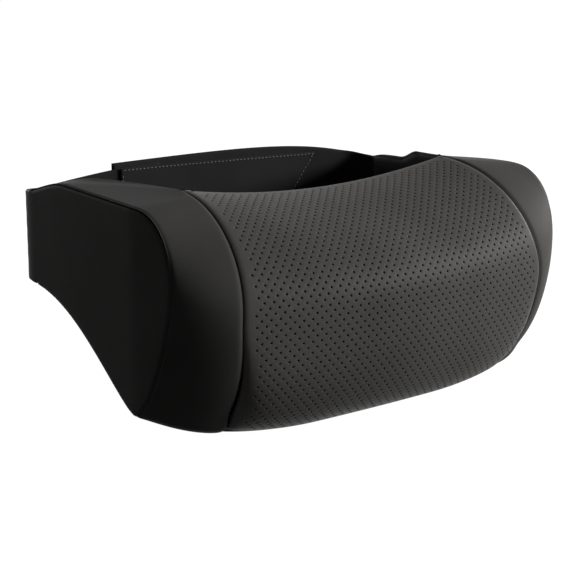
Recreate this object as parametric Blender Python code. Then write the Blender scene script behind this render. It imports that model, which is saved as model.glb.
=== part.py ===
"""A car neck pillow: a foam cushion in a leather cover, with a sleeve that goes round a seat's headrest.

Metres. +X is to the right as seen from the front, +Y points back to the headrest, +Z is up.
Left and right in the names are as seen from the front too.
The origin is on the floor, under the middle of the pillow's box.
"""
import math

import bmesh
import bpy
import numpy as np

# Cushion, the padded block in front of the headrest
CUSHION_DEPTH = 0.087      # from the foremost point to the face against the headrest
CUSHION_HEIGHT = 0.140     # from the floor to the two ends of the top rim
RIM_DIP = 0.009            # how far the rim sags in the middle
NOSE_HEIGHT = 0.077        # height of the foremost line
NOSE_BOW = 0.008           # how far the middle stands ahead of the panel seams
CHEEK_POWER = 1.85         # roundness of the front below the nose, at the panel seams
BELLY_POWER = 2.75         # and in the middle, where it is fuller
BELLY_SPREAD = 16          # more keeps the middle's roundness nearer to the seams
FILL_START = 18            # steps of the section over which the seam's groove fills up towards the base
FILL_END = 20
BASE_DEPTH = 0.024         # depth of the flat underside
BASE_FLAT_HALF = 0.045     # half width of the part of the underside that rests
BASE_LIFT = 0.0065         # how far the underside rises from there to the panel seams

# Panel seam, between the perforated centre and the smooth bolsters
RIM_HALF = 0.0995
NOSE_HALF = 0.1143
BASE_HALF = 0.105
SEAM_FLARE_TOP = 0.55
SEAM_FLARE_BOTTOM = 1.3
BASE_PANEL_STEPS = 2       # steps of the front's lower curve that belong to the base panel

# Wings, the flat sides
WING_HALF = 0.146          # half width over the wings at the front
WING_TOE_IN = 0.011        # how far each wing leans in at the rear corner
WING_TOE_START = 0.019     # where that lean starts, ahead of the cushion's back
WING_NOSE_LAG = 0.022      # how far the wing's front lies behind the panel seam's front
WING_NOSE_HEIGHT = 0.101
WING_SHOULDER = 0.025      # where the wing's top turns down, ahead of the cushion's back
WING_SHOULDER_HEIGHT = {"left": 0.138, "right": 0.1335}
WING_FOOT = 0.017          # the wing's lowest point, ahead of the cushion's back
WING_FOOT_HEIGHT = 0.0175
WING_CHEEK_POWER = 1.48
WING_SWEEP_POWER = 0.68    # shape of the lower edge's sweep up to the strap
WING_SWEEP_LENGTH = 0.128
WING_LAG_DOWN = 0.29       # how much lower on the wing seam each line from the panel seam ends

# Arms, the padded wedges along the top of the wings
ARM_LENGTH = 0.106         # behind the cushion's back
ARM_EDGE_CURVE = 0.45      # how much the arm's inner edge bows away from a straight taper
ARM_END_SLANT = {"left": 0.0, "right": 1.25}     # how much nearer the front the edge falls, per metre inwards
ROUND_START = 0.12         # shares of the front's curve over which the arm's square edge turns round
ROUND_END = 0.42
ROUND_BOTTOM = 0.2
BOLSTER_ROUND = 0.5        # 1 is a quarter circle between the panel seam and the wing, 0 a flat chamfer
BOLSTER_PUFF = 0.003       # how far the bolster's lower middle is puffed out
PUFF_FORWARD = 0.5         # the share of that towards the front
PUFF_DOWN = 0.85
PUFF_ROW = 18              # where along the section it is fullest
PUFF_REACH = 6
PUFF_SKEW = 0.65           # 1 is fullest midway, less nearer to the panel seam

# Sleeve, the space and the band behind the cushion
SLEEVE_DEPTH = 0.134       # from the cushion's back to the outside of the band
CORNER_RADIUS = 0.012
BAND_BOW = 0.008           # how far the band bows out behind the wings
STRAP_FOOT_HEIGHT = 0.070
ARM_FALLS = {                                    # each fall of the wing's top: how far, from where to where
    "left": [(0.0115, 0.0635, 0.1235)],          # behind the cushion's back
    "right": [(0.0050, -0.020, 0.070), (0.0063, 0.067, 0.0815)],
}
CORNER_HEIGHT = {"left": 0.1252, "right": 0.1245}
STRAP_END_X = {"left": -0.030, "right": -0.0645}
STRAP_END_HEIGHT = {"left": 0.1318, "right": 0.1337}
STRAP_TOP_POWER = {"left": 1.5, "right": 4.85}   # 1 is a straight top edge, more falls near the corner

# Closure tab, with its hook and loop
TAB_START_X = -0.062
TAB_END_X = 0.0965
TAB_SLANT = 0.66           # sideways run of the free end for each metre of height
TAB_DROP = 0.0028          # below the outer strap's top edge
TAB_HEIGHT = 0.046
TAB_THICKNESS = 0.002
PATCH_START_X = -0.025
PATCH_END_X = 0.063
PATCH_MARGIN = 0.005
HOOK_THICKNESS = 0.0016

# Cover
LEATHER = 0.0015
GAP = 0.0003               # between neighbouring pieces
FOAM_EDGE = 0.002          # how far the foam's edge along the wing is worn round
ZIP_TAPE_HEIGHT = 0.012
SLIDER_LENGTH = 0.011
SLIDER_HEIGHT = 0.008
SLIDER_DEPTH = 0.0022
SLIDER_X = 0.082
PULL_LENGTH = 0.022
PULL_WIDTH = 0.006
PULL_DEPTH = 0.0014
PULL_EYE = 0.003

# Steps of the meshes
STEPS_CENTRE = 14          # across the centre panel
STEPS_BOLSTER = 6          # from the panel seam to the wing seam
STEPS_ARM = 5              # along the arm's top
STEPS_FRONT = 17           # from the arm or rim, over the nose, to the base
STEPS_SOLE = 2             # along the flat base
STEPS_UNDER = 4            # along the wing's lower edge, under the arm
STEPS_WALL = 3             # up a wall
STEPS_CORNER = 5
CROWN_START = 0.133        # share of the crown that lies beside the arm's top
TINY = 1e-4

DEPTH = CUSHION_DEPTH + SLEEVE_DEPTH
FRONT_Y = -DEPTH / 2
REAR_Y = DEPTH / 2
BACK_Y = FRONT_Y + CUSHION_DEPTH
ARM_TIP_Y = BACK_Y + ARM_LENGTH
SHOULDER_Y = BACK_Y - WING_SHOULDER
SKIN = LEATHER + GAP
FOAM_INSET = LEATHER + 2 * GAP
STRAP_THICKNESS = 2 * LEATHER + GAP
FOOT = STEPS_ARM + STEPS_FRONT
CORNER = FOOT + STEPS_SOLE
LAST = CORNER + STEPS_UNDER
MIDDLE = LAST // 2
BASE_SEAM = FOOT - BASE_PANEL_STEPS
SIGN = {"left": -1, "right": 1}

COLOURS = {
    "leather": ((0.055, 0.0535, 0.052), 0.40, 0.0),
    "perforated": ((0.068, 0.065, 0.062), 0.38, 0.0),
    "foam": ((0.55, 0.53, 0.45), 0.95, 0.0),
    "hook_loop": ((0.010, 0.010, 0.010), 0.90, 0.0),
    "zip_tape": ((0.015, 0.015, 0.015), 0.85, 0.0),
    "zip_metal": ((0.05, 0.05, 0.05), 0.35, 1.0),
}


def clear_scene():
    for item in list(bpy.data.objects):
        bpy.data.objects.remove(item)


def unit(v):
    return v / np.linalg.norm(v)


def inset(*faces):
    """The shortest move that goes the given depth inside each face, for (outward normal, depth) pairs."""
    normals = np.array([n for n, depth in faces])
    depths = np.array([-depth for n, depth in faces])
    return np.linalg.lstsq(normals, depths, rcond=None)[0]


def front_curve(top, nose, foot, power, t):
    """A point of the rounded front: t goes from 0 at the top over 1 at the nose to 2 at the foot."""
    if t <= 1:
        a = math.pi / 2 * t
        return (top[0] + (nose[0] - top[0]) * math.sin(a), nose[1] + (top[1] - nose[1]) * math.cos(a))
    a = math.pi / 2 * (t - 1)
    back = 1 - math.cos(a) ** (2 / power)
    down = math.sin(a) ** (2 / power)
    return (nose[0] + (foot[0] - nose[0]) * back, nose[1] + (foot[1] - nose[1]) * down)


def ease(value, start, end):
    """0 before the start, 1 after the end, and a smooth rise between them."""
    t = min(1.0, max(0.0, (value - start) / (end - start)))
    return t * t * (3 - 2 * t)


def cheek_power(u, j):
    """Roundness of the front below the nose at share u of the half width, on step j of the section."""
    groove = abs(u) ** BELLY_SPREAD * (1 - ease(j, FILL_START, FILL_END))
    return BELLY_POWER + (CHEEK_POWER - BELLY_POWER) * groove


def centre_section(u):
    """The outline from rim to rear lower edge at share u of the half width, as (y, z) points."""
    rim = (BACK_Y, CUSHION_HEIGHT - RIM_DIP * (1 - u * u))
    nose = (FRONT_Y + NOSE_BOW * u * u, NOSE_HEIGHT)
    flat = BASE_FLAT_HALF / BASE_HALF
    lift = BASE_LIFT * (max(0.0, abs(u) - flat) / (1 - flat)) ** 2
    foot = (BACK_Y - BASE_DEPTH, lift)
    turns = [CROWN_START * k / STEPS_ARM for k in range(STEPS_ARM)]
    turns += [CROWN_START + (2 - CROWN_START) * k / STEPS_FRONT for k in range(STEPS_FRONT)]
    front = [front_curve(rim, nose, foot, cheek_power(u, j), t) for j, t in enumerate(turns)]
    sole = [(foot[0] + BASE_DEPTH * k / STEPS_SOLE, lift) for k in range(STEPS_SOLE)]
    return front + sole + [(BACK_Y, lift)] * (STEPS_UNDER + 1)


def seam_half(z):
    """Half width of the panel seam at height z."""
    if z >= NOSE_HEIGHT:
        t = (CUSHION_HEIGHT - z) / (CUSHION_HEIGHT - NOSE_HEIGHT)
        return RIM_HALF + (NOSE_HALF - RIM_HALF) * max(0.0, t) ** SEAM_FLARE_TOP
    t = (NOSE_HEIGHT - z) / (NOSE_HEIGHT - BASE_LIFT)
    return NOSE_HALF + (BASE_HALF - NOSE_HALF) * t ** SEAM_FLARE_BOTTOM


def centre_point(u, j, halves):
    y, z = centre_section(u)[j]
    return np.array([u * halves[j], y, z])


def wing_x(y):
    """Half width over the wing at depth y."""
    t = (y - BACK_Y + WING_TOE_START) / (SLEEVE_DEPTH + WING_TOE_START)
    return WING_HALF - WING_TOE_IN * max(0.0, t)


def arm_top(side, y):
    top = WING_SHOULDER_HEIGHT[side]
    for fall, start, end in ARM_FALLS[side]:
        top -= fall * ease(y - BACK_Y, start, end)
    return top


def wing_bottom(y):
    t = min(1.0, max(0.0, (y - BACK_Y + WING_FOOT) / WING_SWEEP_LENGTH))
    rise = (1 - math.cos(math.pi * t ** WING_SWEEP_POWER)) / 2
    return WING_FOOT_HEIGHT + (STRAP_FOOT_HEIGHT - WING_FOOT_HEIGHT) * rise


def wing_section(side):
    """The wing seam, from the arm's tip forward, down the front and back along the lower edge."""
    top = []
    for k in range(STEPS_ARM + 1):
        y = ARM_TIP_Y + (SHOULDER_Y - ARM_TIP_Y) * k / STEPS_ARM
        top.append((y, arm_top(side, y)))
    nose = (FRONT_Y + NOSE_BOW + WING_NOSE_LAG, WING_NOSE_HEIGHT)
    foot = (BACK_Y - WING_FOOT, WING_FOOT_HEIGHT)
    front = []
    for k in range(STEPS_FRONT):
        f = k / STEPS_FRONT
        t = 2 * f + WING_LAG_DOWN * math.sin(math.pi * f)
        front.append(front_curve(top[-1], nose, foot, WING_CHEEK_POWER, t))
    heel_y = foot[0] + BASE_DEPTH
    sweep = [(foot[0] + (heel_y - foot[0]) * k / STEPS_SOLE) for k in range(STEPS_SOLE)]
    sweep += [(heel_y + (ARM_TIP_Y - heel_y) * k / STEPS_UNDER) for k in range(STEPS_UNDER + 1)]
    outline = top[:-1] + front + [(y, wing_bottom(y)) for y in sweep]
    return [np.array([wing_x(y), y, z]) for y, z in outline]


def edge_share(j):
    """How far a bolster line follows the arm's inner edge: 1 at a section's two ends, 0 over its front."""
    if j < STEPS_ARM:
        return (1 - j / STEPS_ARM) ** 2
    if j > CORNER:
        return ((j - CORNER) / STEPS_UNDER) ** 2
    return 0.0


def squareness(j):
    """1 where the bolster is flat and meets the wing at an edge, 0 where it rounds into the wing."""
    f = (j - STEPS_ARM) / STEPS_FRONT
    return 1 - (ease(f, ROUND_START, ROUND_END) if f <= 0.5 else ease(1 - f, 0.0, ROUND_BOTTOM))


def puff(s, j):
    """How far the bolster is puffed out of its plain shape at share s of its width."""
    t = (j - PUFF_ROW) / PUFF_REACH
    if abs(t) >= 1:
        return 0.0
    return BOLSTER_PUFF * math.sin(math.pi * s ** PUFF_SKEW) * math.cos(math.pi / 2 * t) ** 2


class Side:
    """The bolster and arm of one side, worked out at +X and mirrored by the sign."""

    def __init__(self, name, halves):
        self.name = name
        self.sign = SIGN[name]
        self.inner = [centre_point(1.0, j, halves) for j in range(LAST + 1)]
        self.outer = wing_section(name)

    def point(self, s, j):
        a, b, w = self.inner[j], self.outer[j], edge_share(j)
        turn = s * math.pi / 2
        bow = ARM_EDGE_CURVE * w * s * (1 - s)
        curved = BOLSTER_ROUND * (1 - squareness(j))
        across = curved * math.sin(turn) + (1 - curved) * (s - bow)
        along = curved * (1 - math.cos(turn)) + (1 - curved) * (s + bow)
        x = a[0] + (b[0] - a[0]) * across
        y = a[1] + (b[1] - a[1]) * along - PUFF_FORWARD * puff(s, j)
        z = a[2] + (b[2] - a[2]) * along - PUFF_DOWN * puff(s, j)
        if j <= STEPS_ARM:
            slant = ARM_END_SLANT[self.name]
            start = arm_top(self.name, a[1] + slant * (b[0] - a[0]))
            rim_z = arm_top(self.name, y + slant * (b[0] - x)) + (a[2] - start) * (1 - s * s)
            z += w * (rim_z - z)
        if j > CORNER:
            base_z = wing_bottom(y) + (a[2] - wing_bottom(a[1])) * (1 - s)
            z += w * (base_z - z)
        return np.array([self.sign * x, y, z])

    def across(self, s, j):
        lo, hi = max(0.0, s - TINY), min(1.0, s + TINY)
        return unit(self.sign * (self.point(hi, j) - self.point(lo, j)))

    def normal(self, s, j):
        if j in (0, LAST):
            run = self.sign * self.across(s, j)
            up = np.array([0.0, -run[2], run[1]])
            return unit(up if j == 0 else -up)
        s = max(s, 2 * TINY)
        down = self.point(s, j + 1) - self.point(s, j - 1)
        return unit(np.cross(down, self.across(s, j)))

    def wall_normal(self, s):
        """The outward normal of the arm's inner face, towards the headrest."""
        run = self.point(min(1.0, s + TINY), 0) - self.point(max(0.0, s - TINY), 0)
        return unit(np.array([-self.sign * abs(run[1]), abs(run[0]), 0.0]))


class Surface:
    """The whole outer skin as columns of points, left wing seam to right wing seam, with outward normals."""

    def __init__(self):
        heights = [z for y, z in centre_section(1.0)]
        self.halves = [seam_half(z) for z in heights]
        self.sides = {name: Side(name, self.halves) for name in SIGN}
        self.stations = [("left", 1 - k / STEPS_BOLSTER) for k in range(STEPS_BOLSTER)]
        self.stations += [("centre", -1 + 2 * k / STEPS_CENTRE) for k in range(STEPS_CENTRE + 1)]
        self.stations += [("right", (k + 1) / STEPS_BOLSTER) for k in range(STEPS_BOLSTER)]
        self.first_seam = STEPS_BOLSTER
        self.second_seam = STEPS_BOLSTER + STEPS_CENTRE
        self.points = [[self.at(c, j) for j in range(LAST + 1)] for c in self.stations]
        self.faces = [[self.faces_at(c, j) for j in range(LAST + 1)] for c in self.stations]

    def at(self, station, j):
        region, value = station
        if region == "centre":
            return centre_point(value, j, self.halves)
        return self.sides[region].point(value, j)

    def faces_at(self, station, j):
        """The outward normals of the skin at a point: two on a panel seam, elsewhere one."""
        region, value = station
        if region != "centre":
            return [self.sides[region].normal(value, j)]
        lo, hi = max(-1.0, value - TINY), min(1.0, value + TINY)
        across = self.at((region, hi), j) - self.at((region, lo), j)
        down = self.at(station, min(CORNER, j + 1)) - self.at(station, max(0, min(CORNER, j) - 1))
        found = [unit(np.cross(down, across))]
        if abs(value) == 1:
            found.append(self.sides["right" if value > 0 else "left"].normal(0.0, j))
        return found

    def down(self, i, j):
        """The direction of the surface along the section, rim to base."""
        column = self.points[i]
        return unit(column[min(CORNER, j + 1)] - column[max(0, j - 1)])

    def walls(self, i):
        """The outward normals of the upright faces that meet at column i's two ends."""
        region, value = self.stations[i]
        if region != "centre":
            return [self.sides[region].wall_normal(value)]
        back = [np.array([0.0, 1.0, 0.0])]
        if abs(value) < 1:
            return back
        return back + [self.sides["right" if value > 0 else "left"].wall_normal(0.0)]


def material(name, key):
    colour, roughness, metallic = COLOURS[key]
    made = bpy.data.materials.new(name)
    made.use_nodes = True
    shader = made.node_tree.nodes["Principled BSDF"]
    shader.inputs["Base Color"].default_value = (*colour, 1)
    shader.inputs["Roughness"].default_value = roughness
    shader.inputs["Metallic"].default_value = metallic
    return made


def finish_mesh(name, bm, key):
    bmesh.ops.remove_doubles(bm, verts=bm.verts, dist=1e-6)
    bmesh.ops.dissolve_degenerate(bm, edges=bm.edges, dist=1e-7)
    bmesh.ops.triangulate(bm, faces=bm.faces, quad_method="FIXED")
    bmesh.ops.recalc_face_normals(bm, faces=bm.faces)
    if bm.calc_volume(signed=True) < 0:
        bmesh.ops.reverse_faces(bm, faces=bm.faces)
    mesh = bpy.data.meshes.new(name)
    bm.to_mesh(mesh)
    bm.free()
    mesh.shade_smooth()
    mesh.set_sharp_from_angle(angle=math.radians(40))
    piece = bpy.data.objects.new(name, mesh)
    bpy.context.scene.collection.objects.link(piece)
    mesh.materials.append(material(name, key))
    return piece


def add_grid(bm, rows):
    verts = [[bm.verts.new(p) for p in row] for row in rows]
    for a, b in zip(verts, verts[1:]):
        for k in range(len(a) - 1):
            bm.faces.new((a[k], a[k + 1], b[k + 1], b[k]))
    return verts


def slab(name, outer, inner, key):
    """A closed sheet between two grids of points with the same rows and columns."""
    bm = bmesh.new()
    front = add_grid(bm, outer)
    rear = add_grid(bm, inner)
    for a, b in ((front[0], rear[0]), (front[-1], rear[-1])):
        for k in range(len(a) - 1):
            bm.faces.new((a[k], a[k + 1], b[k + 1], b[k]))
    for k in range(len(front) - 1):
        for edge in (0, -1):
            bm.faces.new((front[k][edge], front[k + 1][edge], rear[k + 1][edge], rear[k][edge]))
    return finish_mesh(name, bm, key)


def skin_panel(surface, name, key, columns, first, last, trims):
    """A piece of the outer skin. trims are the shifts of its first and last column and of its two ends."""
    left, right, start, end = trims
    outer, inner = [], []
    for i in range(columns[0], columns[1] + 1):
        shift = left if i == columns[0] else right if i == columns[1] else 0.0
        top, under = [], []
        for j in range(first, last + 1):
            slide = start if j == first else end if j == last else 0.0
            p = surface.points[i][j] + np.array([shift, 0, 0])
            if slide:
                p = p + slide * surface.down(i, j)
            on_seam = i in (surface.first_seam, surface.second_seam)
            faces = surface.faces[i][min(j, CORNER) if on_seam else j]
            top.append(p)
            under.append(p + inset(*((n, LEATHER) for n in faces)))
        outer.append(top)
        inner.append(under)
    return slab(name, outer, inner, key)


def foam_core(surface):
    """The solid foam under the cover, clear of its leather on every face."""
    count = len(surface.stations)
    columns = []
    for i in range(count):
        column = []
        for j in range(LAST + 1):
            region, value = surface.stations[i]
            at_wall = j in (0, LAST) or (region == "centre" and j >= CORNER)
            faces = [(wall, FOAM_INSET + 3 * GAP) for wall in surface.walls(i)] if at_wall else []
            skins = surface.faces[i][min(j, CORNER) if region == "centre" else j]
            depth = FOAM_INSET + 3 * GAP if faces else FOAM_INSET
            if i in (0, count - 1):
                side = np.array([-1.0 if i == 0 else 1.0, 0, 0])
                faces.append((side, FOAM_INSET))
                depth = FOAM_INSET + FOAM_EDGE * (1 - abs(skins[0] @ side))
            faces += [(n, depth) for n in skins]
            column.append(surface.points[i][j] + inset(*faces))
        columns.append(column)
    bm = bmesh.new()
    add_grid(bm, columns)
    wall = []
    for column in columns:
        wall.append([column[0] + (column[LAST] - column[0]) * k / STEPS_WALL for k in range(STEPS_WALL + 1)])
    add_grid(bm, wall)
    for column in (columns[0], columns[-1]):
        add_grid(bm, side_columns(column, STEPS_WALL))
    return finish_mesh("foam_core", bm, "foam")


def side_columns(section, steps):
    """Upright rows of points that fill a section, from its front back to its ends."""
    rows = []
    for k in range(MIDDLE + 1):
        top, bottom = section[MIDDLE - k], section[MIDDLE + k]
        rows.append([top + (bottom - top) * m / steps for m in range(steps + 1)])
    return rows


def band_y(x):
    """The outside of the rear band at x."""
    return REAR_Y - BAND_BOW * (x / WING_HALF) ** 2


def strap_top(name, x):
    """The height of a strap's top edge at x."""
    end = STRAP_END_X[name]
    corner = SIGN[name] * (wing_x(REAR_Y - CORNER_RADIUS) - CORNER_RADIUS)
    t = max(0.0, (x - end) / (corner - end))
    return STRAP_END_HEIGHT[name] + (CORNER_HEIGHT[name] - STRAP_END_HEIGHT[name]) * t ** STRAP_TOP_POWER[name]


def rear_path(name):
    """The wing's outside from the arm's tip, round the corner, to the strap's end: (x, y, top, bottom)."""
    sign = SIGN[name]
    layer = 0.0 if name == "right" else STRAP_THICKNESS + GAP
    corner_x = wing_x(REAR_Y - CORNER_RADIUS) - CORNER_RADIUS
    centre_y = band_y(corner_x) - layer - CORNER_RADIUS
    path = []
    tip = ARM_TIP_Y
    for y in (tip + 2 * GAP, tip + 3 * GAP, (tip + centre_y) / 2):
        cut = SKIN if y < tip + 2.5 * GAP else 0.0
        path.append((sign * wing_x(y), y, arm_top(name, y) - cut, wing_bottom(y) + cut))
    wing_top = arm_top(name, centre_y)
    for k in range(STEPS_CORNER + 1):
        a = math.pi / 2 * k / STEPS_CORNER
        x = corner_x + CORNER_RADIUS * math.cos(a)
        y = centre_y + CORNER_RADIUS * math.sin(a)
        top = wing_top + (CORNER_HEIGHT[name] - wing_top) * k / STEPS_CORNER
        path.append((sign * x, y, top, STRAP_FOOT_HEIGHT))
    start, end = sign * corner_x, STRAP_END_X[name]
    steps = max(2, round(abs(end - start) / 0.022))
    for k in range(1, steps + 1):
        x = start + (end - start) * k / steps
        path.append((x, band_y(x) - layer, strap_top(name, x), STRAP_FOOT_HEIGHT))
    return path


def offset_path(path, depth, sign):
    """The plan path moved depth towards the inside of the sleeve."""
    plan = [np.array(p[:2]) for p in path]
    normals = []
    for a, b in zip(plan, plan[1:]):
        d = unit(b - a)
        normals.append(np.array([d[1], -d[0]]) * sign)
    moved = []
    for k, p in enumerate(plan):
        before = normals[max(0, k - 1)]
        after = normals[min(len(normals) - 1, k)]
        q = p + inset((before, depth), (after, depth))
        moved.append((q[0], q[1], path[k][2], path[k][3]))
    return moved


def wall_rows(path, steps):
    rows = []
    for x, y, top, bottom in path:
        rows.append([np.array([x, y, top + (bottom - top) * m / steps]) for m in range(steps + 1)])
    return rows


def wing_panel(surface, name):
    """The outer leather: the flat side inside the wing seam, the rear corner and the strap."""
    sign = SIGN[name]
    index = 0 if name == "left" else len(surface.stations) - 1
    edge = []
    for j in range(LAST + 1):
        n = surface.faces[index][j][0]
        edge.append(surface.points[index][j] - LEATHER * np.array([0.0, n[1], n[2]]))
    outline = []
    for j, p in enumerate(edge):
        ahead = edge[min(LAST, j + 1)] - edge[max(0, j - 1)]
        inward = unit(np.array([0.0, -ahead[2], ahead[1]]))
        tilt = surface.faces[index][j][0][0] ** 2
        outline.append(p + (2 + 12 * tilt * (1 - tilt)) * GAP * inward)
    outer = side_columns(outline, STEPS_WALL)
    for row in outer:
        for p in row:
            p[0] = sign * wing_x(p[1])
    lean = np.array([-sign * LEATHER, 0, 0])
    inner = [[p + lean for p in row] for row in outer]
    path = rear_path(name)
    outer += wall_rows(path, STEPS_WALL)
    inner += wall_rows(offset_path(path, LEATHER, sign), STEPS_WALL)
    return slab(f"{name}_wing_panel", outer, inner, "leather")


def arm_edge(surface, name, s, depth):
    """The two ends of the arm's inner face at share s, depth inside it and clear of the bolster."""
    side = surface.sides[name]
    wall = side.wall_normal(s)
    ends = []
    for j in (0, LAST):
        ends.append(side.point(s, j) + inset((wall, depth), (side.normal(s, j), SKIN + 6 * GAP)))
    return ends


def lining_end(surface, name):
    """The share at which the arm's inner face comes within a strap's thickness of the wing's outside."""
    lo, hi = 0.5, 1.0
    for _ in range(40):
        mid = (lo + hi) / 2
        p = surface.sides[name].point(mid, 0)
        if wing_x(p[1]) - abs(p[0]) > STRAP_THICKNESS:
            lo = mid
        else:
            hi = mid
    return lo


def wing_lining(surface, name):
    """The inner leather: the arm's inner face, the inside of the wing and of the strap."""
    sign = SIGN[name]
    end = lining_end(surface, name)
    shares = [k / STEPS_BOLSTER for k in range(STEPS_BOLSTER) if k / STEPS_BOLSTER < end - 0.05] + [end]
    outer, inner = [], []
    for s in shares:
        for rows, depth in ((outer, 0.0), (inner, LEATHER)):
            top, bottom = arm_edge(surface, name, s, depth)
            rows.append([top + (bottom - top) * m / STEPS_WALL for m in range(STEPS_WALL + 1)])
    path = rear_path(name)
    outer += wall_rows(offset_path(path, STRAP_THICKNESS, sign), STEPS_WALL)
    inner += wall_rows(offset_path(path, LEATHER + GAP, sign), STEPS_WALL)
    return slab(f"{name}_wing_lining", outer, inner, "leather")


def back_wall(surface, name, key, low, high):
    """A strip of the flat face against the headrest, between two heights above its lower edge."""
    outer, inner = [], []
    for i in range(surface.first_seam, surface.second_seam + 1):
        top = surface.points[i][0] - np.array([0, 0, SKIN])
        bottom = surface.points[i][LAST] + np.array([0, 0, SKIN])
        height = top[2] - bottom[2]
        share_low = low / height
        share_high = 1.0 if high is None else high / height
        ends = [bottom + (top - bottom) * share_high, bottom + (top - bottom) * share_low]
        edge = 1 if i == surface.second_seam else -1 if i == surface.first_seam else 0
        for p in ends:
            p[0] -= edge * GAP
        rows = [ends[0] + (ends[1] - ends[0]) * m / STEPS_WALL for m in range(STEPS_WALL + 1)]
        outer.append(rows)
        inner.append([p - np.array([0, LEATHER, 0]) for p in rows])
    return slab(name, outer, inner, key)


def band_piece(name, key, start, ends, top, bottom, near, far):
    """A layer of the band: near and far are its faces, measured in from the band's outside."""
    steps = 8
    outer, inner = [], []
    for k in range(steps + 1):
        row_out, row_in = [], []
        for x_end, height in zip(ends, (top, bottom)):
            x = start + (x_end - start) * k / steps
            z = height(x)
            row_out.append(np.array([x, band_y(x) - near, z]))
            row_in.append(np.array([x, band_y(x) - far, z]))
        outer.append(row_out)
        inner.append(row_in)
    return slab(name, outer, inner, key)


def closure():
    """The stitched tab, and the hook and loop patches between it and the outer strap."""
    def tab_top(x):
        return strap_top("right", x) - TAB_DROP

    def tab_bottom(x):
        return tab_top(x) - TAB_HEIGHT

    layer = STRAP_THICKNESS + GAP
    tab_face = 2 * layer
    slant = TAB_SLANT * TAB_HEIGHT
    ends = (TAB_END_X, TAB_END_X - slant)
    tab_back = tab_face + TAB_THICKNESS
    band_piece("closure_tab", "leather", TAB_START_X, ends, tab_top, tab_bottom, tab_face, tab_back)

    def patch_top(x):
        return tab_top(x) - PATCH_MARGIN

    def patch_bottom(x):
        return tab_bottom(x) + PATCH_MARGIN

    patch_ends = (PATCH_END_X, PATCH_END_X)
    hook_near = tab_face - GAP - HOOK_THICKNESS
    for name, near, far in (
        ("loop_patch", layer, hook_near - GAP),
        ("hook_patch", hook_near, tab_face - GAP),
    ):
        band_piece(name, "hook_loop", PATCH_START_X, patch_ends, patch_top, patch_bottom, near, far)


def bevelled_box(name, key, low, high, width):
    """A block between two corners with its edges broken."""
    bm = bmesh.new()
    bmesh.ops.create_cube(bm, size=1)
    for v in bm.verts:
        v.co = [low[k] + (high[k] - low[k]) * (v.co[k] + 0.5) for k in range(3)]
    bmesh.ops.bevel(bm, geom=bm.edges[:], offset=width, segments=2, profile=0.5, affect="EDGES")
    return finish_mesh(name, bm, key)


def zip_fastener(surface):
    """The zip along the lower rear edge: its tape with the coil, its slider and its pull."""
    back_wall(surface, "zip_tape", "zip_tape", 0.0, ZIP_TAPE_HEIGHT)
    base = SKIN + BASE_LIFT * ((SLIDER_X - BASE_FLAT_HALF) / (BASE_HALF - BASE_FLAT_HALF)) ** 2
    middle = base + ZIP_TAPE_HEIGHT / 2
    face = BACK_Y + GAP
    low = (SLIDER_X - SLIDER_LENGTH / 2, face, middle - SLIDER_HEIGHT / 2)
    high = (SLIDER_X + SLIDER_LENGTH / 2, face + SLIDER_DEPTH, middle + SLIDER_HEIGHT / 2)
    bevelled_box("zip_slider", "zip_metal", low, high, SLIDER_DEPTH / 4)
    pull_face = face + SLIDER_DEPTH + GAP
    low = (SLIDER_X - PULL_LENGTH + PULL_EYE, pull_face, middle - PULL_WIDTH / 2)
    high = (SLIDER_X + PULL_EYE, pull_face + PULL_DEPTH, middle + PULL_WIDTH / 2)
    bevelled_box("zip_pull", "zip_metal", low, high, PULL_DEPTH / 4)


def build():
    clear_scene()
    surface = Surface()
    half_gap = GAP / 2
    end = len(surface.stations) - 1
    seams = (surface.first_seam, surface.second_seam)
    foam_core(surface)
    skin_panel(surface, "centre_panel", "perforated", seams, 0, BASE_SEAM, (half_gap, -half_gap, 0, -half_gap))
    skin_panel(surface, "base_panel", "leather", seams, BASE_SEAM, CORNER, (half_gap, -half_gap, half_gap, 0))
    skin_panel(surface, "left_bolster_panel", "leather", (0, seams[0]), 0, LAST, (0, -half_gap, 0, 0))
    skin_panel(surface, "right_bolster_panel", "leather", (seams[1], end), 0, LAST, (half_gap, 0, 0, 0))
    for name in SIGN:
        wing_panel(surface, name)
        wing_lining(surface, name)
    back_wall(surface, "back_panel", "leather", ZIP_TAPE_HEIGHT + GAP, None)
    closure()
    zip_fastener(surface)


build()
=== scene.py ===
"""The dressed car neck pillow: leather cover with a perforated front, wings, strap and closure tab.

Metres, in the row frame. Left and right are as seen from the front.
"""
import math

import bmesh
import bpy
import numpy as np
from mathutils import Matrix, Vector
from mathutils.geometry import delaunay_2d_cdt


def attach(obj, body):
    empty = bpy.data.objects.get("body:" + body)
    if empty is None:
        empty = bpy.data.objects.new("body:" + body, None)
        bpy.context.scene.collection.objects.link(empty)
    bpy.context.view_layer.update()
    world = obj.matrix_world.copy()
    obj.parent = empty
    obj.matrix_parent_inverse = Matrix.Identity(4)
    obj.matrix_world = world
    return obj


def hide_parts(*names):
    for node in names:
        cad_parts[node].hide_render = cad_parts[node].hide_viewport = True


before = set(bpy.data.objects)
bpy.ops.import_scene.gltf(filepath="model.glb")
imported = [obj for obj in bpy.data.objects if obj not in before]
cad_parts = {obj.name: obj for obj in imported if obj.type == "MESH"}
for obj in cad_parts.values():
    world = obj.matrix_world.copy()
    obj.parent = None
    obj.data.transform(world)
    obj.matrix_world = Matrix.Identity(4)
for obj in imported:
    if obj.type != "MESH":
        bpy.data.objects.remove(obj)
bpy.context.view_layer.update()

# The same named sizes as the solids
CUSHION_DEPTH = 0.087
CUSHION_HEIGHT = 0.140
RIM_DIP = 0.009
NOSE_HEIGHT = 0.077
NOSE_BOW = 0.008
CHEEK_POWER = 1.85
BELLY_POWER = 2.75
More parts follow.
